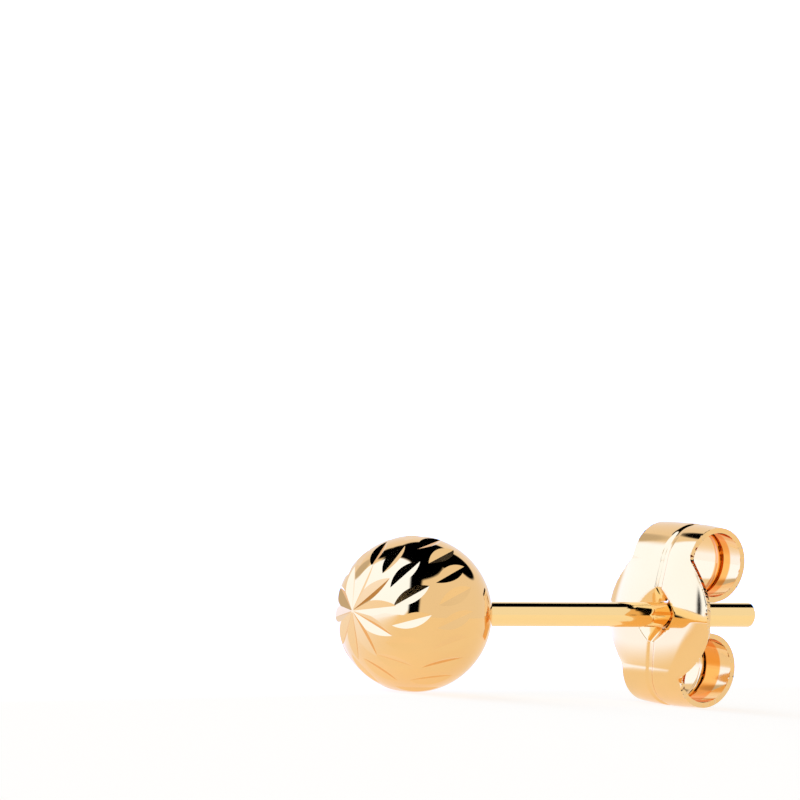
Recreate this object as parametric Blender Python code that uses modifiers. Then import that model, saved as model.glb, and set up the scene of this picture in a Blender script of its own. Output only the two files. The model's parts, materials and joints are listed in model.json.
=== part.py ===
"""Ball stud earring at rest: an engraved gold ball on its soldered post, with a butterfly clutch."""
import math

import bmesh
import bpy
from mathutils import Euler, Matrix, Vector

MM = 0.001
TINY = 0.000001
SLIVER = 0.003 * MM

# Ball: a polished bead, built from an icosphere that is turned off the planes of the cuts
BALL_DIAMETER = 5.0 * MM
BALL_SUBDIVISIONS = 5
BALL_MESH_TURN = (math.radians(7.0), math.radians(11.0), math.radians(3.0))

# The star pattern leans a little off the post's line, towards one side of it
PATTERN_LEAN = 2.2
PATTERN_LEAN_SIDE = 110.0

# V cuts in the ball, one row for each ring about the pole opposite the post.
# Angles in degrees: inner and outer end from the pole, the twist between them,
# the first cut's place about the pole, and half of the V.
CUT_COLUMNS = ("name", "count", "inner", "outer", "twist", "first", "half_v")
CUT_RINGS = (
    ("petal", 10, 1.0, 39.0, 0.0, 11.0, 63.0),
    ("middle_leaf", 15, 36.5, 64.7, 15.5, 18.8, 72.0),
    ("outer_leaf", 20, 70.0, 100.0, 14.2, 17.6, 70.0),
)
# A cutter stands this many cut depths above its valley, and runs on past the valley's ends
CUTTER_RISE = 1.35
CUTTER_OVERRUN = 0.15 * MM

# Post: drawn wire, with a narrower neck where it is soldered to the ball
POST_DIAMETER = 0.8 * MM
POST_LENGTH = 11.4 * MM
POST_CHAMFER = 0.07 * MM
POST_SIDES = 32
NECK_DIAMETER = 0.74 * MM
NECK_LENGTH = 0.22 * MM
NECK_SHOULDER = 0.05 * MM
NECK_SOLDERED_IN = 0.5 * MM

# Clutch: one stamped strip, pierced for the post, its two arms curled back into loops.
# It leans away from the ball towards its upper loop, and the plate is bowed towards the ball.
CLUTCH_STAND_OFF = 7.42 * MM
CLUTCH_LEAN = 0.053
PLATE_BOW = 0.118 * MM
STRIP_THICKNESS = 0.17 * MM
ARM_CROWN = 0.05 * MM
LOOP_DEPTH = 2.45 * MM
LOOP_HEIGHT = 2.5 * MM
LOOP_CLEARANCE = 0.05 * MM
LOOP_TURN = math.radians(316.0)

# The strip's two edges differ: half width of the plate and of the arms, distance from the post
# at which the plate narrows to the arm, and how far the plate's rim is bent back
EDGE_COLUMNS = ("plate", "arm", "notch", "rim_bend")
NEAR_EDGE = (2.47 * MM, 1.28 * MM, 1.85 * MM, 0.12 * MM)
FAR_EDGE = (2.68 * MM, 1.52 * MM, 1.75 * MM, 0.30 * MM)
NOTCH_SOFTNESS = 0.12

# The near rim is folded back further below the post
FOLD_HEIGHT = -1.25 * MM
FOLD_REACH = 1.15 * MM
FOLD_START = 0.62
FOLD_BACK = 0.3 * MM

# Groove pressed along the middle of the strip, a little aslant
GROOVE_SLANT = 0.076
GROOVE_REACH = 2.6 * MM
GROOVE_HALF_WIDTH = 0.17 * MM
GROOVE_FLOOR = 0.6
GROOVE_DEPTH = 0.05 * MM

# Pierced mouth: an eye-shaped funnel that narrows to the post's hole
MOUTH_HALF_HEIGHT = 0.9 * MM
MOUTH_HALF_WIDTH = 0.95 * MM
MOUTH_ROUNDNESS = 1.4
MOUTH_DEPTH = 0.42 * MM
HOLE_CLEARANCE = 0.05 * MM

# Rows of faces on each half of the strip, and columns on each side of its middle
PLATE_ROWS = 11
LOOP_ROWS = 20
GROOVE_COLUMNS = 2
LOBE_COLUMNS = 6

GOLD = (0.95, 0.70, 0.38, 1.0)
GOLD_ROUGHNESS = 0.08

BALL_RADIUS = BALL_DIAMETER / 2
POST_RADIUS = POST_DIAMETER / 2
POST_END = BALL_RADIUS + POST_LENGTH
CLUTCH_FACE = BALL_RADIUS + CLUTCH_STAND_OFF
LOOP_CENTRE_HEIGHT = POST_RADIUS + LOOP_CLEARANCE + LOOP_HEIGHT / 2


def clear_scene():
    """Remove every object, so that the script can be run again in the same file."""
    for leftover in list(bpy.data.objects):
        bpy.data.objects.remove(leftover, do_unlink=True)
    for leftover in list(bpy.data.collections):
        bpy.data.collections.remove(leftover)


def add_collection(name):
    """Add a collection to the scene."""
    collection = bpy.data.collections.new(name)
    bpy.context.scene.collection.children.link(collection)
    return collection


def gold(name):
    """Polished yellow gold, for one piece."""
    material = bpy.data.materials.new(name)
    material.use_nodes = True
    shader = material.node_tree.nodes["Principled BSDF"]
    shader.inputs["Base Color"].default_value = GOLD
    shader.inputs["Metallic"].default_value = 1.0
    shader.inputs["Roughness"].default_value = GOLD_ROUGHNESS
    return material


def add_object(name, shape, collection, parent):
    """Wrap a bmesh as an object under its parent, and free the bmesh."""
    mesh = bpy.data.meshes.new(name)
    shape.to_mesh(mesh)
    shape.free()
    made = bpy.data.objects.new(name, mesh)
    collection.objects.link(made)
    made.parent = parent
    return made


def hide_cutter(cutter):
    """Mark an object as a tool that shapes the others."""
    cutter.display_type = "WIRE"
    cutter.hide_render = True


def shade(piece, sharp_degrees):
    """Shade a piece smooth, with its sharper edges kept."""
    piece.data.shade_smooth()
    piece.data.set_sharp_from_angle(angle=math.radians(sharp_degrees))


def combine(piece, tool, operation):
    """Cut a tool from a piece, or join it to the piece."""
    boolean = piece.modifiers.new(tool.name, "BOOLEAN")
    boolean.operation = operation
    boolean.solver = "EXACT"
    boolean.use_self = True
    boolean.object = tool


def merge_slivers(piece):
    """Merge the points that cuts leave almost on top of each other."""
    weld = piece.modifiers.new("slivers", "WELD")
    weld.merge_threshold = SLIVER


def resting_tilt():
    """Angle at which the post rises, when ball and lower loop both touch the ground."""
    loop_axis = CLUTCH_FACE + PLATE_BOW + LOOP_DEPTH / 2
    tilt = 0.0
    for _ in range(20):
        upright = math.cos(tilt) + CLUTCH_LEAN * math.sin(tilt)
        drop = LOOP_CENTRE_HEIGHT * upright
        drop += math.hypot(LOOP_DEPTH / 2 * math.sin(tilt), LOOP_HEIGHT / 2 * upright)
        tilt = math.asin((drop - BALL_RADIUS) / loop_axis)
    return tilt


def add_rest_frame():
    """Empty at the ball's centre, whose X axis is the post's, with the whole earring centred on the origin."""
    tilt = resting_tilt()
    frame = bpy.data.objects.new("post_axis", None)
    bpy.context.scene.collection.objects.link(frame)
    middle = (POST_END * math.cos(tilt) - BALL_RADIUS) / 2
    middle_across = (FAR_EDGE[0] - BALL_RADIUS) / 2
    frame.location = (-middle, -middle_across, BALL_RADIUS)
    frame.rotation_euler = (0.0, -tilt, 0.0)
    return frame


def toward(polar, around):
    """Direction at an angle from the ball's front pole, and an angle around it from the -Y side up."""
    polar = math.radians(polar)
    around = math.radians(around)
    aside = math.sin(polar)
    return Vector((-math.cos(polar), -aside * math.cos(around), aside * math.sin(around)))


def pattern_lean():
    """Rotation from the post's line to the leaning axis of the star pattern."""
    pole = toward(0.0, 0.0)
    lean_axis = pole.cross(toward(90.0, PATTERN_LEAN_SIDE))
    return Matrix.Rotation(math.radians(PATTERN_LEAN), 3, lean_axis)


def add_cut(shape, inner, outer, half_v):
    """One V-shaped cutter, a lozenge prism whose lowest edge is the cut's valley."""
    middle = (inner + outer).normalized()
    along = (outer - inner).normalized()
    across = middle.cross(along)
    half_turn = inner.angle(outer) / 2
    depth = BALL_RADIUS * (1 - math.cos(half_turn))
    rise = depth * CUTTER_RISE
    spread = rise * math.tan(math.radians(half_v))
    length = 2 * BALL_RADIUS * math.sin(half_turn) + 2 * CUTTER_OVERRUN
    frame = Matrix((across, middle, along)).transposed().to_4x4()
    frame.translation = middle * (BALL_RADIUS - depth + rise)
    bmesh.ops.create_cone(
        shape,
        cap_ends=True,
        segments=4,
        radius1=1.0,
        radius2=1.0,
        depth=length,
        matrix=frame @ Matrix.Diagonal((spread, rise, 1.0, 1.0)),
    )


def add_ring_cutter(ring, collection, parent):
    """The cutters of one ring of the star pattern, as one object."""
    shape = bmesh.new()
    lean = pattern_lean()
    for index in range(ring["count"]):
        around = ring["first"] + index * 360.0 / ring["count"]
        inner = lean @ toward(ring["inner"], around - ring["twist"] / 2)
        outer = lean @ toward(ring["outer"], around + ring["twist"] / 2)
        add_cut(shape, inner, outer, ring["half_v"])
    cutter = add_object(ring["name"] + "_cutter", shape, collection, parent)
    hide_cutter(cutter)
    return cutter


def add_post(collection, parent):
    """The turned post with its neck, standing on Z until it is laid along the post axis."""
    neck_radius = NECK_DIAMETER / 2
    neck_end = BALL_RADIUS + NECK_LENGTH
    profile = (
        (0.0, POST_END),
        (POST_RADIUS - POST_CHAMFER, POST_END),
        (POST_RADIUS, POST_END - POST_CHAMFER),
        (POST_RADIUS, neck_end + NECK_SHOULDER),
        (neck_radius, neck_end),
        (neck_radius, BALL_RADIUS - NECK_SOLDERED_IN),
        (0.0, BALL_RADIUS - NECK_SOLDERED_IN),
    )
    shape = bmesh.new()
    corners = [shape.verts.new((radius, 0.0, along)) for radius, along in profile]
    for upper, lower in zip(corners, corners[1:]):
        shape.edges.new((upper, lower))
    post = add_object("post_blank", shape, collection, parent)
    post.rotation_euler = (0.0, math.radians(90.0), 0.0)
    turning = post.modifiers.new("turning", "SCREW")
    turning.axis = "Z"
    turning.steps = POST_SIDES
    turning.render_steps = POST_SIDES
    turning.use_merge_vertices = True
    turning.merge_threshold = TINY
    hide_cutter(post)
    return post


def add_ball_stud(parts, cutters, parent):
    """The engraved ball and the post soldered to it, one solid."""
    bpy.ops.mesh.primitive_ico_sphere_add(subdivisions=BALL_SUBDIVISIONS, radius=BALL_RADIUS)
    ball = bpy.context.object
    ball.name = "ball_stud"
    for holder in list(ball.users_collection):
        holder.objects.unlink(ball)
    parts.objects.link(ball)
    ball.data.transform(Euler(BALL_MESH_TURN).to_matrix().to_4x4())
    ball.parent = parent
    for row in CUT_RINGS:
        ring = dict(zip(CUT_COLUMNS, row))
        combine(ball, add_ring_cutter(ring, cutters, parent), "DIFFERENCE")
    combine(ball, add_post(cutters, parent), "UNION")
    merge_slivers(ball)
    shade(ball, 8.0)
    ball.data.materials.append(gold("ball_gold"))
    return ball


def strip_line(row):
    """Front face of the strip's middle line, at a row counted from the post: turn, depth, height, distance."""
    if row <= PLATE_ROWS:
        distance = LOOP_CENTRE_HEIGHT * row / PLATE_ROWS
        return 0.0, 0.0, distance, distance
    turn = LOOP_TURN * (row - PLATE_ROWS) / LOOP_ROWS
    depth = LOOP_DEPTH / 2 * (1 - math.cos(turn))
    height = LOOP_CENTRE_HEIGHT + LOOP_HEIGHT / 2 * math.sin(turn)
    return turn, depth, height, LOOP_CENTRE_HEIGHT + LOOP_HEIGHT / 2 * turn


def strip_aside(column, half_width):
    """Place across the strip of a column counted from its middle."""
    if column <= GROOVE_COLUMNS:
        share = (0.0, GROOVE_FLOOR, 1.0)[column]
        return GROOVE_HALF_WIDTH * share
    share = (column - GROOVE_COLUMNS) / LOBE_COLUMNS
    return GROOVE_HALF_WIDTH + (half_width - GROOVE_HALF_WIDTH) * share


def mouth_depth(aside, height):
    """How far the funnel round the post's hole is pressed in at a point of the plate."""
    reach = (abs(aside) / MOUTH_HALF_WIDTH) ** MOUTH_ROUNDNESS
    reach += (abs(height) / MOUTH_HALF_HEIGHT) ** MOUTH_ROUNDNESS
    reach = reach ** (1 / MOUTH_ROUNDNESS)
    hole_reach = (POST_RADIUS + HOLE_CLEARANCE) / MOUTH_HALF_WIDTH
    return MOUTH_DEPTH * min(1.0, max(0.0, (1 - reach) / (1 - hole_reach)))


def lobe_share(distance, notch):
    """1 at the plate's widest line, falling softly to 0 where the arm begins."""
    share = 1 - (distance / notch) ** 2
    return (share + math.hypot(share, NOTCH_SOFTNESS)) / 2


def rim_fold(share, signed_height):
    """How far the near rim is folded back below the post."""
    reach = (signed_height - FOLD_HEIGHT) / FOLD_REACH
    across = max(0.0, (share - FOLD_START) / (1 - FOLD_START))
    return FOLD_BACK * max(0.0, 1 - reach ** 2) * across ** 1.5


def strip_point(row, column):
    """A point of the strip's front face, in the clutch's own frame, from its row and column."""
    turn, depth, height, distance = strip_line(abs(row))
    up = math.copysign(1.0, row)
    edge = dict(zip(EDGE_COLUMNS, NEAR_EDGE if column < 0 else FAR_EDGE))
    lobe = lobe_share(distance, edge["notch"])
    half_width = edge["arm"] + (edge["plate"] - edge["arm"]) * lobe
    aside = strip_aside(abs(column), half_width)
    share = aside / half_width
    pressed = edge["rim_bend"] * lobe * share ** 4 + ARM_CROWN * share ** 2
    if column < 0:
        pressed += rim_fold(share, up * distance)
    if abs(column) < GROOVE_COLUMNS:
        pressed += GROOVE_DEPTH
    if turn == 0.0:
        pressed += mouth_depth(aside, height)
    bow = PLATE_BOW * min(1.0, distance / LOOP_CENTRE_HEIGHT) ** 2
    inward = Vector((math.cos(turn) * LOOP_HEIGHT, 0.0, -math.sin(turn) * LOOP_DEPTH)).normalized()
    point = Vector((depth + bow, aside, height)) + inward * pressed
    point.z *= up
    if column < 0:
        point.y = -point.y
    point.y -= GROOVE_SLANT * up * min(distance, GROOVE_REACH) * (1 - share)
    point.x += CLUTCH_LEAN * point.z
    return point


def add_clutch(parts, cutters, parent):
    """The butterfly clutch, with its origin on the post's axis at the plate's front face."""
    rows = PLATE_ROWS + LOOP_ROWS
    columns = GROOVE_COLUMNS + LOBE_COLUMNS
    shape = bmesh.new()
    bmesh.ops.create_grid(shape, x_segments=2 * rows, y_segments=2 * columns, size=1.0)
    for vertex in shape.verts:
        row = round(vertex.co.x * rows)
        column = round(vertex.co.y * columns)
        vertex.co = strip_point(row, column)
    clutch = add_object("butterfly_clutch", shape, parts, parent)
    clutch.location = (CLUTCH_FACE, 0.0, 0.0)
    sheet = clutch.modifiers.new("sheet", "SOLIDIFY")
    sheet.thickness = STRIP_THICKNESS
    sheet.offset = -1.0
    sheet.use_even_offset = True

    hole = bmesh.new()
    bmesh.ops.create_cone(
        hole,
        cap_ends=True,
        segments=POST_SIDES,
        radius1=POST_RADIUS + HOLE_CLEARANCE,
        radius2=POST_RADIUS + HOLE_CLEARANCE,
        depth=2 * (MOUTH_DEPTH + STRIP_THICKNESS) + POST_DIAMETER,
        matrix=Matrix.Rotation(math.pi / POST_SIDES, 4, "Z"),
    )
    cutter = add_object("hole_cutter", hole, cutters, parent)
    cutter.location = clutch.location
    cutter.rotation_euler = (0.0, math.radians(90.0), 0.0)
    hide_cutter(cutter)
    combine(clutch, cutter, "DIFFERENCE")
    merge_slivers(clutch)
    shade(clutch, 50.0)
    clutch.data.materials.append(gold("clutch_gold"))
    return clutch


def main():
    """Build the earring."""
    clear_scene()
    parts = add_collection("ball_stud_earring")
    cutters = add_collection("cutters")
    frame = add_rest_frame()
    add_ball_stud(parts, cutters, frame)
    add_clutch(parts, cutters, frame)


main()
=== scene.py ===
"""Gold ball stud earring with its butterfly clutch, at rest on a pale table."""

import json
import math

import bmesh
import bpy
import numpy as np
from mathutils import Matrix, Vector


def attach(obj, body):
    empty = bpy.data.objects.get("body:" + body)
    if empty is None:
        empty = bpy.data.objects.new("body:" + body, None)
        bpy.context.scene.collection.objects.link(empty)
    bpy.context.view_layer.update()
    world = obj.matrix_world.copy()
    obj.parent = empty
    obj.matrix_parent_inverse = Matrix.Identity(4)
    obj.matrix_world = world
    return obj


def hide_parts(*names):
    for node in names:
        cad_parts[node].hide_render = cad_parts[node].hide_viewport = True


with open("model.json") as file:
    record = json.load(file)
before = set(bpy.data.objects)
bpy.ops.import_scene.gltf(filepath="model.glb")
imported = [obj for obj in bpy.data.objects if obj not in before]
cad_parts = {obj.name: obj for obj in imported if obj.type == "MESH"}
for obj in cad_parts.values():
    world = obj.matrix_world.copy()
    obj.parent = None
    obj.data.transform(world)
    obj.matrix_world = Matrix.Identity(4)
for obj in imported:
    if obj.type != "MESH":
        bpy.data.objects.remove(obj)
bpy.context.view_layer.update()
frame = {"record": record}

# The post's line. The whole stud is built along the wire that goes through the ear: the ball is
# soldered on one end and the clutch slides on from the other. Here the stud lies at rest, so the
# line rises a little from the ball's centre towards the clutch.
MM = 0.001
BALL_RADIUS = 2.5 * MM
POST_LENGTH = 11.4 * MM

post_mount = next(mount for mount in frame["record"]["mounts"] if mount["name"] == "post_end")
post_line = Vector(post_mount["axis"]).normalized()
post_tip = Vector(post_mount["pos_m"])
ball_centre = post_tip - post_line * (BALL_RADIUS + POST_LENGTH)
sideways = Vector((0.0, 1.0, 0.0))
stud_space = Matrix((post_line, sideways, post_line.cross(sideways))).transposed().to_4x4()
stud_space.translation = ball_centre


# Gold. Ball, post and clutch are one alloy, yellow gold polished on a buffing wheel to a mirror.
# Up close the shine wanders a little: shallow waves left by the wheel, hairlines along its
# travel, and faint clouds where the polish is less bright.
GOLD_BRIGHT = (0.92, 0.58, 0.24, 1.0)
GOLD_DEEP = (0.88, 0.54, 0.215, 1.0)
WAVE_SIZE = 0.9 * MM
WAVE_HEIGHT = 0.0012 * MM
WAVE_DETAIL = 1.0
CLOUD_SIZE = 2 * WAVE_SIZE
CLOUD_DETAIL = 4.0
HAIRLINE_SIZE = 0.02 * MM
HAIRLINE_STRETCH = 14.0
HAIRLINE_HEIGHT = 0.00006 * MM
HAIRLINE_DETAIL = 2.0


def polished_gold(name, wheel_direction, shine_low, shine_high):
    """Polished gold, with the hairlines of the wheel along one direction."""
    material = bpy.data.materials.new(name)
    material.use_nodes = True
    nodes = material.node_tree.nodes
    links = material.node_tree.links
    shader = nodes["Principled BSDF"]
    shader.inputs["Metallic"].default_value = 1.0
    place = nodes.new("ShaderNodeTexCoord")

    clouds = nodes.new("ShaderNodeTexNoise")
    clouds.inputs["Scale"].default_value = 1 / CLOUD_SIZE
    clouds.inputs["Detail"].default_value = CLOUD_DETAIL
    links.new(place.outputs["Object"], clouds.inputs["Vector"])
    tone = nodes.new("ShaderNodeMix")
    tone.data_type = "RGBA"
    tone.inputs["A"].default_value = GOLD_DEEP
    tone.inputs["B"].default_value = GOLD_BRIGHT
    links.new(clouds.outputs["Fac"], tone.inputs["Factor"])
    links.new(tone.outputs["Result"], shader.inputs["Base Color"])

    stretch = nodes.new("ShaderNodeMapping")
    stretch.inputs["Rotation"].default_value = wheel_direction
    stretch.inputs["Scale"].default_value = (1 / HAIRLINE_STRETCH, 1.0, 1.0)
    links.new(place.outputs["Object"], stretch.inputs["Vector"])
    hairlines = nodes.new("ShaderNodeTexNoise")
    hairlines.inputs["Scale"].default_value = 1 / HAIRLINE_SIZE
    hairlines.inputs["Detail"].default_value = HAIRLINE_DETAIL
    links.new(stretch.outputs["Vector"], hairlines.inputs["Vector"])
    shine = nodes.new("ShaderNodeMapRange")
    shine.inputs["To Min"].default_value = shine_low
    shine.inputs["To Max"].default_value = shine_high
    links.new(hairlines.outputs["Fac"], shine.inputs["Value"])
    links.new(shine.outputs["Result"], shader.inputs["Roughness"])

    waves = nodes.new("ShaderNodeTexNoise")
    waves.inputs["Scale"].default_value = 1 / WAVE_SIZE
    waves.inputs["Detail"].default_value = WAVE_DETAIL
    links.new(place.outputs["Object"], waves.inputs["Vector"])
    wave_bump = nodes.new("ShaderNodeBump")
    wave_bump.inputs["Distance"].default_value = WAVE_HEIGHT
    links.new(waves.outputs["Fac"], wave_bump.inputs["Height"])
    hairline_bump = nodes.new("ShaderNodeBump")
    hairline_bump.inputs["Distance"].default_value = HAIRLINE_HEIGHT
    links.new(hairlines.outputs["Fac"], hairline_bump.inputs["Height"])
    links.new(wave_bump.outputs["Normal"], hairline_bump.inputs["Normal"])
    links.new(hairline_bump.outputs["Normal"], shader.inputs["Normal"])
    return material


# Ball and post. The ball is a gold bead whose pattern is cut with a V-shaped diamond tool: a star
# of ten petals opposite the post, then two rings of leaves that lean round the ball. The post is
# drawn wire, with a short neck where it is soldered to the ball, and a lightly chamfered tip.
BALL_SUBDIVISIONS = 7
BALL_MESH_TURN = (math.radians(7.0), math.radians(11.0), math.radians(3.0))
PATTERN_LEAN = 2.2
PATTERN_LEAN_SIDE = 110.0
CUT_COLUMNS = ("name", "count", "inner", "outer", "twist", "first", "half_v")
CUT_RINGS = (
    ("petal", 10, 1.0, 39.0, 0.0, 11.0, 63.0),
    ("middle_leaf", 15, 36.5, 64.7, 15.5, 18.8, 72.0),
    ("outer_leaf", 20, 70.0, 100.0, 14.2, 17.6, 70.0),
)
CUTTER_RISE = 1.35
CUTTER_OVERRUN = 0.15 * MM
POST_RADIUS = 0.4 * MM
POST_CHAMFER = 0.07 * MM
POST_SIDES = 128
NECK_RADIUS = 0.37 * MM
NECK_LENGTH = 0.22 * MM
NECK_SHOULDER = 0.05 * MM
NECK_SOLDERED_IN = 0.5 * MM
SLIVER = 0.0005 * MM
UNCUT_TILT = math.radians(4.0)
BALL_SHARP_ANGLE = math.radians(12.0)
BALL_WHEEL = (0.0, 0.0, 0.4)
BALL_SHINE = (0.02, 0.07)
WIRE_GOLD = (0.98, 0.68, 0.29, 1.0)


def add_tool(name, shape):
    """A shape that cuts or joins another, in the stud's own space, hidden from the render."""
    mesh = bpy.data.meshes.new(name)
    shape.to_mesh(mesh)
    shape.free()
    tool = bpy.data.objects.new(name, mesh)
    bpy.context.scene.collection.objects.link(tool)
    tool.hide_render = True
    return tool


def combine(piece, tool, operation):
    """Cut a tool from a piece, or join it on."""
    boolean = piece.modifiers.new(tool.name, "BOOLEAN")
    boolean.operation = operation
    boolean.solver = "EXACT"
    boolean.use_self = True
    boolean.object = tool


def settle(piece, tools):
    """Apply a piece's modifiers, and remove the tools that they used."""
    evaluated = piece.evaluated_get(bpy.context.evaluated_depsgraph_get())
    mesh = bpy.data.meshes.new_from_object(evaluated)
    piece.modifiers.clear()
    piece.data = mesh
    for tool in tools:
        bpy.data.objects.remove(tool)
    return mesh


def toward(polar, around):
    """Direction at an angle from the star's centre, and an angle round it from the near side up."""
    polar = math.radians(polar)
    around = math.radians(around)
    aside = math.sin(polar)
    return Vector((-math.cos(polar), -aside * math.cos(around), aside * math.sin(around)))


def add_cut(shape, inner, outer, half_v):
    """One V-shaped cut: a lozenge prism whose lowest edge is the cut's valley."""
    middle = (inner + outer).normalized()
    along = (outer - inner).normalized()
    half_turn = inner.angle(outer) / 2
    depth = BALL_RADIUS * (1 - math.cos(half_turn))
    rise = depth * CUTTER_RISE
    spread = rise * math.tan(math.radians(half_v))
    length = 2 * BALL_RADIUS * math.sin(half_turn) + 2 * CUTTER_OVERRUN
    tool_space = Matrix((middle.cross(along), middle, along)).transposed().to_4x4()
    tool_space.translation = middle * (BALL_RADIUS - depth + rise)
    lozenge = Matrix.Diagonal((spread, rise, 1.0, 1.0))
    bmesh.ops.create_cone(
        shape, cap_ends=True, segments=4, radius1=1.0, radius2=1.0, depth=length,
        matrix=tool_space @ lozenge,
    )


def ring_of_cuts(ring):
    """All the cuts of one ring of the pattern."""
    shape = bmesh.new()
    lean_axis = toward(0.0, 0.0).cross(toward(90.0, PATTERN_LEAN_SIDE))
    lean = Matrix.Rotation(math.radians(PATTERN_LEAN), 3, lean_axis)
    for index in range(ring["count"]):
        around = ring["first"] + index * 360.0 / ring["count"]
        inner = lean @ toward(ring["inner"], around - ring["twist"] / 2)
        outer = lean @ toward(ring["outer"], around + ring["twist"] / 2)
        add_cut(shape, inner, outer, ring["half_v"])
    return add_tool(ring["name"] + "_cuts", shape)


def turned_post():
    """The post with its neck, turned about the post's line."""
    post_end = BALL_RADIUS + POST_LENGTH
    neck_end = BALL_RADIUS + NECK_LENGTH
    profile = (
        (post_end, 0.0),
        (post_end, POST_RADIUS - POST_CHAMFER),
        (post_end - POST_CHAMFER, POST_RADIUS),
        (neck_end + NECK_SHOULDER, POST_RADIUS),
        (neck_end, NECK_RADIUS),
        (BALL_RADIUS - NECK_SOLDERED_IN, NECK_RADIUS),
        (BALL_RADIUS - NECK_SOLDERED_IN, 0.0),
    )
    shape = bmesh.new()
    corners = [shape.verts.new((along, 0.0, radius)) for along, radius in profile]
    edges = [shape.edges.new(pair) for pair in zip(corners, corners[1:])]
    bmesh.ops.spin(
        shape, geom=corners + edges, cent=(0.0, 0.0, 0.0), axis=(1.0, 0.0, 0.0),
        angle=math.tau, steps=POST_SIDES,
    )
    bmesh.ops.remove_doubles(shape, verts=shape.verts[:], dist=SLIVER)
    bmesh.ops.recalc_face_normals(shape, faces=shape.faces[:])
    return add_tool("post", shape)


def true_ball_normals(mesh):
    """Give the uncut ball the normals of a perfect sphere, so that its mirror shows no facets."""
    normals = np.array([corner.vector for corner in mesh.corner_normals])
    for face in mesh.polygons:
        centre = face.center
        if centre.length < BALL_RADIUS and face.normal.angle(centre) < UNCUT_TILT:
            for corner in face.loop_indices:
                point = mesh.vertices[mesh.loops[corner].vertex_index].co
                normals[corner] = point.normalized()
    mesh.normals_split_custom_set(normals.tolist())


def lay_tone(material, share, colour):
    """Lay a second tone over a gold, by its share at each point."""
    nodes = material.node_tree.nodes
    links = material.node_tree.links
    base = nodes["Principled BSDF"].inputs["Base Color"]
    tone = nodes.new("ShaderNodeMix")
    tone.data_type = "RGBA"
    tone.inputs["B"].default_value = colour
    links.new(share, tone.inputs["Factor"])
    links.new(base.links[0].from_socket, tone.inputs["A"])
    links.new(tone.outputs["Result"], base)


def tint_wire(material):
    """Give the post a paler gold than the ball, from the solder joint on."""
    nodes = material.node_tree.nodes
    links = material.node_tree.links
    place = nodes.new("ShaderNodeTexCoord")
    split = nodes.new("ShaderNodeSeparateXYZ")
    links.new(place.outputs["Object"], split.inputs["Vector"])
    past_joint = nodes.new("ShaderNodeMapRange")
    past_joint.inputs["From Min"].default_value = ball_centre.x + BALL_RADIUS
    past_joint.inputs["From Max"].default_value = ball_centre.x + BALL_RADIUS + NECK_LENGTH
    links.new(split.outputs["X"], past_joint.inputs["Value"])
    lay_tone(material, past_joint.outputs["Result"], WIRE_GOLD)


bpy.ops.mesh.primitive_ico_sphere_add(subdivisions=BALL_SUBDIVISIONS, radius=BALL_RADIUS)
ball = bpy.context.object
ball.name = "engraved_ball_and_post"
ball.rotation_euler = BALL_MESH_TURN
tools = [ring_of_cuts(dict(zip(CUT_COLUMNS, row))) for row in CUT_RINGS]
for tool in tools:
    combine(ball, tool, "DIFFERENCE")
post = turned_post()
combine(ball, post, "UNION")
ball_mesh = settle(ball, tools + [post])
ball_mesh.transform(ball.matrix_world)
ball.rotation_euler = (0.0, 0.0, 0.0)
ball_mesh.shade_smooth()
ball_mesh.set_sharp_from_angle(angle=BALL_SHARP_ANGLE)
true_ball_normals(ball_mesh)
ball_mesh.transform(stud_space)
ball_mesh.materials.clear()
ball_gold = polished_gold("ball_gold", BALL_WHEEL, *BALL_SHINE)
tint_wire(ball_gold)
ball_mesh.materials.append(ball_gold)
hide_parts("ball_stud")
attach(ball, "stud")


# Clutch. A strip of gold sheet is stamped to its outline, pierced with an eye-shaped mouth for
# the post and pressed with a groove down its middle. Its two arms are then curled back over a
# rod into loops, which grip the post between them.
CLUTCH_STAND_OFF = 7.42 * MM
CLUTCH_LEAN = 0.053
PLATE_BOW = 0.118 * MM
STRIP_THICKNESS = 0.17 * MM
ARM_CROWN = 0.05 * MM
LOOP_DEPTH = 2.45 * MM
LOOP_HEIGHT = 2.5 * MM
LOOP_CLEARANCE = 0.05 * MM
LOOP_TURN = math.radians(316.0)
LOOP_CENTRE_HEIGHT = POST_RADIUS + LOOP_CLEARANCE + LOOP_HEIGHT / 2
EDGE_COLUMNS = ("plate", "arm", "notch", "rim_bend")
NEAR_EDGE = (2.47 * MM, 1.28 * MM, 1.85 * MM, 0.12 * MM)
FAR_EDGE = (2.68 * MM, 1.52 * MM, 1.75 * MM, 0.30 * MM)
NOTCH_SOFTNESS = 0.12
FOLD_HEIGHT = -1.25 * MM
FOLD_REACH = 1.15 * MM
FOLD_START = 0.62
FOLD_BACK = 0.3 * MM
GROOVE_HALF_WIDTH = 0.17 * MM
GROOVE_DEPTH = 0.05 * MM
GROOVE_SLANT = 0.076
GROOVE_REACH = 2.6 * MM
GROOVE_WALL = 2.0
GROOVE_FADE = math.radians(90.0)
MOUTH_HALF_HEIGHT = 0.9 * MM
MOUTH_HALF_WIDTH = 0.95 * MM
MOUTH_ROUNDNESS = 1.4
MOUTH_DEPTH = 0.42 * MM
HOLE_CLEARANCE = 0.05 * MM
EDGE_ROUNDING = 0.035 * MM
ROUNDING_STEPS = 3
ROUNDING_ANGLE = math.radians(60.0)
CLUTCH_SHARP_ANGLE = math.radians(40.0)
PLATE_ROWS = 70
LOOP_ROWS = 150
GROOVE_COLUMNS = 6
LOBE_COLUMNS = 26
CLUTCH_WHEEL = (0.0, 1.2, 0.0)
CLUTCH_SHINE = (0.03, 0.10)
# Painted reflection: the deeper orange gold of a band inside the loops stands in for gold reflected
# in gold.
LOOP_REFLECTION_GOLD = (0.90, 0.30, 0.03, 1.0)
LOOP_INSIDE_RADIUS = 1.11 * MM
LOOP_INSIDE_EDGE = 0.02 * MM
REFLECTION_BAND_ASIDE = 0.42 * MM
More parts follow.
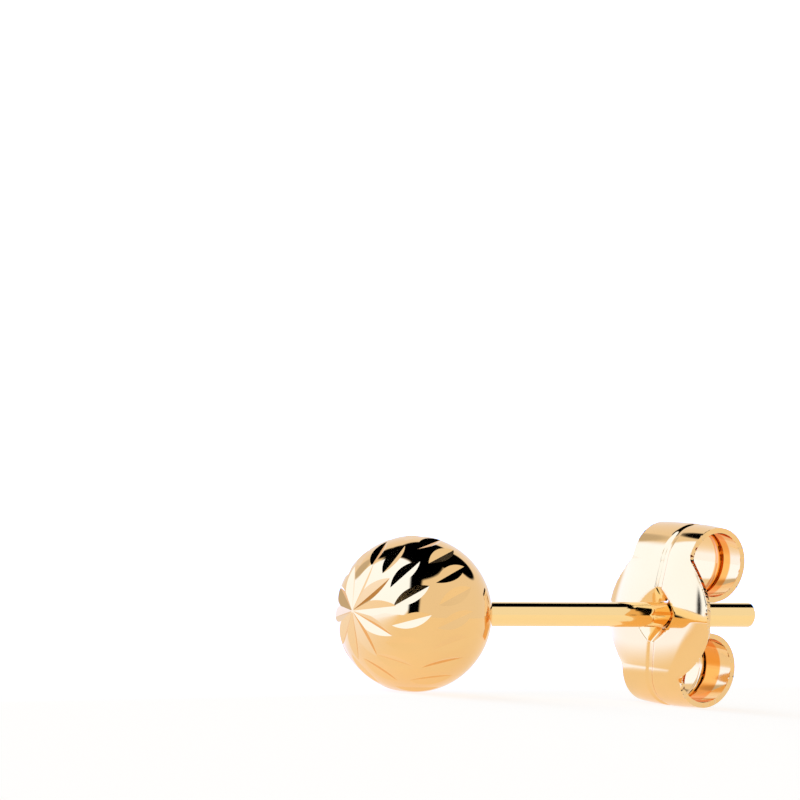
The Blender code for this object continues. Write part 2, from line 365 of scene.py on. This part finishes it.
REFLECTION_BAND_HALF_WIDTH = 0.34 * MM
REFLECTION_BAND_EDGE = 0.08 * MM


def strip_line(row):
    """Front face of the strip's middle line: turn of the curl, depth, height, distance along it."""
    if row <= PLATE_ROWS:
        distance = LOOP_CENTRE_HEIGHT * row / PLATE_ROWS
        return 0.0, 0.0, distance, distance
    turn = LOOP_TURN * (row - PLATE_ROWS) / LOOP_ROWS
    depth = LOOP_DEPTH / 2 * (1 - math.cos(turn))
    height = LOOP_CENTRE_HEIGHT + LOOP_HEIGHT / 2 * math.sin(turn)
    return turn, depth, height, LOOP_CENTRE_HEIGHT + LOOP_HEIGHT / 2 * turn


def strip_aside(column, half_width):
    """Distance of a column from the middle line."""
    if column <= GROOVE_COLUMNS:
        return GROOVE_HALF_WIDTH * column / GROOVE_COLUMNS
    share = (column - GROOVE_COLUMNS) / LOBE_COLUMNS
    return GROOVE_HALF_WIDTH + (half_width - GROOVE_HALF_WIDTH) * share


def smooth_step(value):
    """Rise from 0 to 1 with flat ends."""
    value = min(1.0, max(0.0, value))
    return value * value * (3 - 2 * value)


def mouth_depth(aside, height):
    """How far the mouth's funnel is pressed in at a point of the plate."""
    reach = (aside / MOUTH_HALF_WIDTH) ** MOUTH_ROUNDNESS
    reach += (abs(height) / MOUTH_HALF_HEIGHT) ** MOUTH_ROUNDNESS
    reach = reach ** (1 / MOUTH_ROUNDNESS)
    hole_reach = (POST_RADIUS + HOLE_CLEARANCE) / MOUTH_HALF_WIDTH
    return MOUTH_DEPTH * min(1.0, max(0.0, (1 - reach) / (1 - hole_reach)))


def lobe_share(distance, notch):
    """1 at the plate's widest line, falling softly to 0 where the arm begins."""
    share = 1 - (distance / notch) ** 2
    return (share + math.hypot(share, NOTCH_SOFTNESS)) / 2


def rim_fold(share, signed_height):
    """How far the near rim is folded back below the post."""
    reach = (signed_height - FOLD_HEIGHT) / FOLD_REACH
    across = max(0.0, (share - FOLD_START) / (1 - FOLD_START))
    return FOLD_BACK * max(0.0, 1 - reach ** 2) * across ** 1.5


def strip_point(row, column):
    """A point of the strip's front face, from its row and column."""
    turn, depth, height, distance = strip_line(abs(row))
    up = math.copysign(1.0, row)
    edge = dict(zip(EDGE_COLUMNS, NEAR_EDGE if column < 0 else FAR_EDGE))
    lobe = lobe_share(distance, edge["notch"])
    half_width = edge["arm"] + (edge["plate"] - edge["arm"]) * lobe
    aside = strip_aside(abs(column), half_width)
    share = aside / half_width
    pressed = edge["rim_bend"] * lobe * share ** 4 + ARM_CROWN * share ** 2
    if column < 0:
        pressed += rim_fold(share, up * distance)
    wall = 1.0 + (GROOVE_WALL - 1.0) * max(0.0, 1 - turn / GROOVE_FADE)
    pressed += GROOVE_DEPTH * smooth_step(wall * (1 - aside / GROOVE_HALF_WIDTH))
    if turn == 0.0:
        pressed += mouth_depth(aside, height)
    bow = PLATE_BOW * min(1.0, distance / LOOP_CENTRE_HEIGHT) ** 2
    inward = Vector((math.cos(turn) * LOOP_HEIGHT, 0.0, -math.sin(turn) * LOOP_DEPTH)).normalized()
    point = Vector((depth + bow, aside, height)) + inward * pressed
    point.z *= up
    if column < 0:
        point.y = -point.y
    point.y -= GROOVE_SLANT * up * min(distance, GROOVE_REACH) * (1 - share)
    point.x += CLUTCH_LEAN * point.z
    return point


def falling(material, value, start, end, manner):
    """1 up to the start, falling to 0 at the end."""
    step = material.node_tree.nodes.new("ShaderNodeMapRange")
    step.interpolation_type = manner
    step.inputs["From Min"].default_value = start
    step.inputs["From Max"].default_value = end
    step.inputs["To Min"].default_value = 1.0
    step.inputs["To Max"].default_value = 0.0
    material.node_tree.links.new(value, step.inputs["Value"])
    return step.outputs["Result"]


def paint_loop_reflection(material):
    """Paint a band of the loops' insides a deeper orange gold: a painted reflection of the gold
    that the loops reflect in each other.
    """
    nodes = material.node_tree.nodes
    links = material.node_tree.links
    place = nodes.new("ShaderNodeTexCoord")
    flat = nodes.new("ShaderNodeVectorMath")
    flat.operation = "MULTIPLY"
    flat.inputs[1].default_value = (1.0, 0.0, 1.0)
    links.new(place.outputs["Object"], flat.inputs[0])
    inside = []
    for side in (1.0, -1.0):
        height = side * LOOP_CENTRE_HEIGHT
        depth = LOOP_DEPTH / 2 + PLATE_BOW + CLUTCH_LEAN * height
        centre = stud_space @ Vector((BALL_RADIUS + CLUTCH_STAND_OFF + depth, 0.0, height))
        from_centre = nodes.new("ShaderNodeVectorMath")
        from_centre.operation = "DISTANCE"
        from_centre.inputs[1].default_value = (centre.x, 0.0, centre.z)
        links.new(flat.outputs["Vector"], from_centre.inputs[0])
        outer_face = LOOP_INSIDE_RADIUS + LOOP_INSIDE_EDGE
        reach = from_centre.outputs["Value"]
        inside.append(falling(material, reach, LOOP_INSIDE_RADIUS, outer_face, "LINEAR"))
    either = nodes.new("ShaderNodeMath")
    either.operation = "MAXIMUM"
    links.new(inside[0], either.inputs[0])
    links.new(inside[1], either.inputs[1])
    split = nodes.new("ShaderNodeSeparateXYZ")
    links.new(place.outputs["Object"], split.inputs["Vector"])
    shifted = nodes.new("ShaderNodeMath")
    shifted.operation = "ADD"
    shifted.inputs[1].default_value = REFLECTION_BAND_ASIDE
    links.new(split.outputs["Y"], shifted.inputs[0])
    aside = nodes.new("ShaderNodeMath")
    aside.operation = "ABSOLUTE"
    links.new(shifted.outputs["Value"], aside.inputs[0])
    band_end = REFLECTION_BAND_HALF_WIDTH + REFLECTION_BAND_EDGE
    band = falling(material, aside.outputs["Value"], REFLECTION_BAND_HALF_WIDTH, band_end, "SMOOTHSTEP")
    share = nodes.new("ShaderNodeMath")
    share.operation = "MULTIPLY"
    links.new(either.outputs["Value"], share.inputs[0])
    links.new(band, share.inputs[1])
    lay_tone(material, share.outputs["Value"], LOOP_REFLECTION_GOLD)


rows = PLATE_ROWS + LOOP_ROWS
columns = GROOVE_COLUMNS + LOBE_COLUMNS
strip = bmesh.new()
bmesh.ops.create_grid(strip, x_segments=2 * rows, y_segments=2 * columns, size=1.0)
for vertex in strip.verts:
    vertex.co = strip_point(round(vertex.co.x * rows), round(vertex.co.y * columns))
clutch_mesh = bpy.data.meshes.new("curled_clutch")
strip.to_mesh(clutch_mesh)
strip.free()
clutch = bpy.data.objects.new("curled_clutch", clutch_mesh)
bpy.context.scene.collection.objects.link(clutch)
sheet = clutch.modifiers.new("sheet", "SOLIDIFY")
sheet.thickness = STRIP_THICKNESS
sheet.offset = -1.0
sheet.use_even_offset = True
along_post = Matrix.Rotation(math.radians(90.0), 4, "Y")
half_side = Matrix.Rotation(0.5 * math.tau / POST_SIDES, 4, "Z")
drill = bmesh.new()
bmesh.ops.create_cone(
    drill, cap_ends=True, segments=POST_SIDES,
    radius1=POST_RADIUS + HOLE_CLEARANCE, radius2=POST_RADIUS + HOLE_CLEARANCE,
    depth=2 * (MOUTH_DEPTH + STRIP_THICKNESS) + POST_RADIUS, matrix=along_post @ half_side,
)
drill = add_tool("drill", drill)
combine(clutch, drill, "DIFFERENCE")
rounding = clutch.modifiers.new("rounding", "BEVEL")
rounding.width = EDGE_ROUNDING
rounding.segments = ROUNDING_STEPS
rounding.angle_limit = ROUNDING_ANGLE
clutch_mesh = settle(clutch, [drill])
clutch_mesh.shade_smooth()
clutch_mesh.set_sharp_from_angle(angle=CLUTCH_SHARP_ANGLE)
clutch_mesh.transform(stud_space @ Matrix.Translation((BALL_RADIUS + CLUTCH_STAND_OFF, 0.0, 0.0)))
clutch_mesh.materials.clear()
clutch_gold = polished_gold("clutch_gold", CLUTCH_WHEEL, *CLUTCH_SHINE)
# Painted reflection of gold in gold, on a band of the loops' insides.
paint_loop_reflection(clutch_gold)
clutch_mesh.materials.append(clutch_gold)
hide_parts("butterfly_clutch")
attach(clutch, "clutch")


# Table. A sheet of matt white acrylic, lit from below so that only a faint shadow is left. It ends
# a little way in front of the stud. Behind it on the left, the light from below is the brightest.
TABLE_RADIUS = 9.0
TABLE_FRONT = 0.12
TABLE_FRONT_AZIMUTH = -39.1
TABLE_SIDES = 256
ACRYLIC = (0.30, 0.23, 0.13, 1.0)
ACRYLIC_ROUGHNESS = 0.9
TABLE_GLOW = (0.81, 0.81, 0.81, 1.0)
BRIGHT_GLOW = (0.95, 1.4, 3.0, 1.0)
BRIGHT_AZIMUTH = -150.0
BRIGHT_START = 1.5 * MM
BRIGHT_END = 15.0 * MM


def compass(azimuth, elevation):
    """Direction from the stud, by azimuth from the front (-Y) towards the right, and elevation."""
    azimuth = math.radians(azimuth)
    elevation = math.radians(elevation)
    level = math.cos(elevation)
    return Vector((level * math.sin(azimuth), -level * math.cos(azimuth), math.sin(elevation)))


table_centre = compass(TABLE_FRONT_AZIMUTH, 0.0) * (TABLE_FRONT - TABLE_RADIUS)
table_shape = bmesh.new()
bmesh.ops.create_circle(
    table_shape, cap_ends=True, segments=TABLE_SIDES, radius=TABLE_RADIUS,
    matrix=Matrix.Translation(table_centre),
)
table_mesh = bpy.data.meshes.new("table")
table_shape.to_mesh(table_mesh)
table_shape.free()
table = bpy.data.objects.new("table", table_mesh)
bpy.context.scene.collection.objects.link(table)
acrylic = bpy.data.materials.new("white_acrylic")
acrylic.use_nodes = True
nodes = acrylic.node_tree.nodes
links = acrylic.node_tree.links
surface = nodes["Principled BSDF"]
surface.inputs["Base Color"].default_value = ACRYLIC
surface.inputs["Roughness"].default_value = ACRYLIC_ROUGHNESS
surface.inputs["Specular IOR Level"].default_value = 0.0
surface.inputs["Emission Strength"].default_value = 1.0
place = nodes.new("ShaderNodeTexCoord")
towards_bright = nodes.new("ShaderNodeVectorMath")
towards_bright.operation = "DOT_PRODUCT"
towards_bright.inputs[1].default_value = compass(BRIGHT_AZIMUTH, 0.0)
links.new(place.outputs["Object"], towards_bright.inputs[0])
share = nodes.new("ShaderNodeMapRange")
share.interpolation_type = "SMOOTHSTEP"
share.inputs["From Min"].default_value = BRIGHT_START
share.inputs["From Max"].default_value = BRIGHT_END
links.new(towards_bright.outputs["Value"], share.inputs["Value"])
glow = nodes.new("ShaderNodeMix")
glow.data_type = "RGBA"
glow.inputs["A"].default_value = TABLE_GLOW
glow.inputs["B"].default_value = BRIGHT_GLOW
links.new(share.outputs["Result"], glow.inputs["Factor"])
links.new(glow.outputs["Result"], surface.inputs["Emission Color"])
table_mesh.materials.append(acrylic)


# Studio. Pale walls all round, a large cool soft light on the left, black cards overhead and on the
# right, small grey cards and black flags, and a dark gap for the camera. Polished gold shows only
# what stands round it.
CARD_COLUMNS = ("azimuth", "elevation", "reach", "softness")
SOFT_LIGHTS = (
    (-95.0, 30.0, 50.0, 2.0),
    (-141.0, 3.0, 29.0, 6.0),
)
BLACK_CARDS = (
    (-100.0, 82.0, 35.0, 2.0),
    (115.0, 68.0, 27.0, 1.5),
    (95.0, 41.0, 14.0, 1.5),
)
GREY_CARDS = (
    (-119.0, 21.0, 7.0, 2.0),
    (-169.0, 28.0, 9.0, 2.0),
)
GREY_DEPTH = 0.34
BLACK_FLAGS = (
    (174.0, 60.0, 12.0, 2.0),
    (-177.0, 50.0, 9.0, 2.0),
    (-28.7, 39.5, 3.0, 1.0),
)
SLIT_SIDES = (
    (-108.0, 3.0, 16.0, 1.5),
    (-136.0, 3.0, 16.0, 1.5),
)
CAMERA_GAP = -40.0
CAMERA_GAP_HALF_WIDTH = 8.0
CAMERA_GAP_FOOT = -12.0
GAP_SOFTNESS = 2.0
CLOSE_GAP = (-25.0, 0.0, 4.0, 1.0)
WALL = (0.94, 0.975, 1.08, 1.0)
SOFT_LIGHT = (1.15, 1.7, 3.5, 1.0)

world = bpy.data.worlds.new("studio")
bpy.context.scene.world = world
world.use_nodes = True
studio = world.node_tree
background = studio.nodes["Background"]
looking = studio.nodes.new("ShaderNodeTexCoord")


def calculate(operation, first, second):
    """One step of arithmetic on two values in the studio's nodes."""
    step = studio.nodes.new("ShaderNodeMath")
    step.operation = operation
    for socket, value in zip(step.inputs, (first, second)):
        if isinstance(value, float):
            socket.default_value = value
        else:
            studio.links.new(value, socket)
    return step.outputs[0]


def along(direction):
    """How far the looking direction goes along another."""
    product = studio.nodes.new("ShaderNodeVectorMath")
    product.operation = "DOT_PRODUCT"
    studio.links.new(looking.outputs["Generated"], product.inputs[0])
    product.inputs[1].default_value = direction
    return product.outputs["Value"]


def rising(value, start, end):
    """Soft step from 0 at the start to 1 at the end."""
    step = studio.nodes.new("ShaderNodeMapRange")
    step.interpolation_type = "SMOOTHSTEP"
    studio.links.new(value, step.inputs["Value"])
    step.inputs["From Min"].default_value = start
    step.inputs["From Max"].default_value = end
    return step.outputs["Result"]


def card(row):
    """1 inside a round card of the surroundings, 0 outside."""
    size = dict(zip(CARD_COLUMNS, row))
    outside = math.cos(math.radians(size["reach"] + size["softness"]))
    inside = math.cos(math.radians(size["reach"] - size["softness"]))
    return rising(along(compass(size["azimuth"], size["elevation"])), outside, inside)


def together(operation, rows):
    """Several cards taken as one: their union with MAXIMUM, their overlap with MULTIPLY."""
    made = card(rows[0])
    for row in rows[1:]:
        made = calculate(operation, made, card(row))
    return made


grey = together("MAXIMUM", GREY_CARDS)
soft_light = together("MAXIMUM", SOFT_LIGHTS)
open_wall = calculate("SUBTRACT", 1.0, together("MAXIMUM", BLACK_CARDS))
lit = calculate("MAXIMUM", open_wall, soft_light)
grey_shade = calculate("MULTIPLY", grey, GREY_DEPTH)
lit = calculate("MULTIPLY", lit, calculate("SUBTRACT", 1.0, grey_shade))
soft_light = calculate("MULTIPLY", soft_light, calculate("SUBTRACT", 1.0, grey))
flags = together("MAXIMUM", BLACK_FLAGS)
flags = calculate("MAXIMUM", flags, together("MULTIPLY", SLIT_SIDES))
flags = calculate("MAXIMUM", flags, card(CLOSE_GAP))

soft_edge = math.sin(math.radians(GAP_SOFTNESS))
gap_edge = math.sin(math.radians(CAMERA_GAP_HALF_WIDTH))
gap_foot = math.sin(math.radians(CAMERA_GAP_FOOT))
beside_gap = calculate("ABSOLUTE", along(compass(CAMERA_GAP + 90.0, 0.0)), 0.0)
gap = calculate("SUBTRACT", 1.0, rising(beside_gap, gap_edge - soft_edge, gap_edge + soft_edge))
gap = calculate("MULTIPLY", gap, rising(along(compass(CAMERA_GAP, 0.0)), 0.0, soft_edge))
above_foot = rising(along((0.0, 0.0, 1.0)), gap_foot - soft_edge, gap_foot + soft_edge)
gap = calculate("MULTIPLY", gap, above_foot)

colour = studio.nodes.new("ShaderNodeMix")
colour.data_type = "RGBA"
colour.inputs["A"].default_value = WALL
colour.inputs["B"].default_value = SOFT_LIGHT
studio.links.new(soft_light, colour.inputs["Factor"])
studio.links.new(colour.outputs["Result"], background.inputs["Color"])
for shade in (gap, flags):
    lit = calculate("MULTIPLY", lit, calculate("SUBTRACT", 1.0, shade))
studio.links.new(lit, background.inputs["Strength"])


# Camera. A long lens beyond the table's front edge, turned a little about its own line so that the
# post looks level although it rises towards the clutch.
VIEW_AZIMUTH = TABLE_FRONT_AZIMUTH
VIEW_ELEVATION = 1.5
VIEW_ROLL = 4.82
LENS_MM = 1000.0
SENSOR_MM = 36.0
PICTURE_WIDTH = 25.48 * MM
BALL_RIGHT_OF_MIDDLE = 0.446 * MM
BALL_BELOW_MIDDLE = 6.81 * MM
NEAREST_SEEN = 0.01
FARTHEST_SEEN = 20.0

backward = compass(VIEW_AZIMUTH, VIEW_ELEVATION)
level_right = compass(VIEW_AZIMUTH + 90.0, 0.0)
level_up = backward.cross(level_right)
roll = math.radians(VIEW_ROLL)
right = level_right * math.cos(roll) + level_up * math.sin(roll)
up = backward.cross(right)
camera_data = bpy.data.cameras.new("camera")
camera_data.lens = LENS_MM
camera_data.sensor_width = SENSOR_MM
camera_data.clip_start = NEAREST_SEEN
camera_data.clip_end = FARTHEST_SEEN
camera = bpy.data.objects.new("camera", camera_data)
bpy.context.scene.collection.objects.link(camera)
distance = PICTURE_WIDTH * LENS_MM / SENSOR_MM
aim = ball_centre - right * BALL_RIGHT_OF_MIDDLE + up * BALL_BELOW_MIDDLE
facing = Matrix((right, up, backward)).transposed().to_4x4()
camera.matrix_world = Matrix.Translation(aim + backward * distance) @ facing
bpy.context.scene.camera = camera
bpy.context.scene.view_settings.view_transform = "Standard"
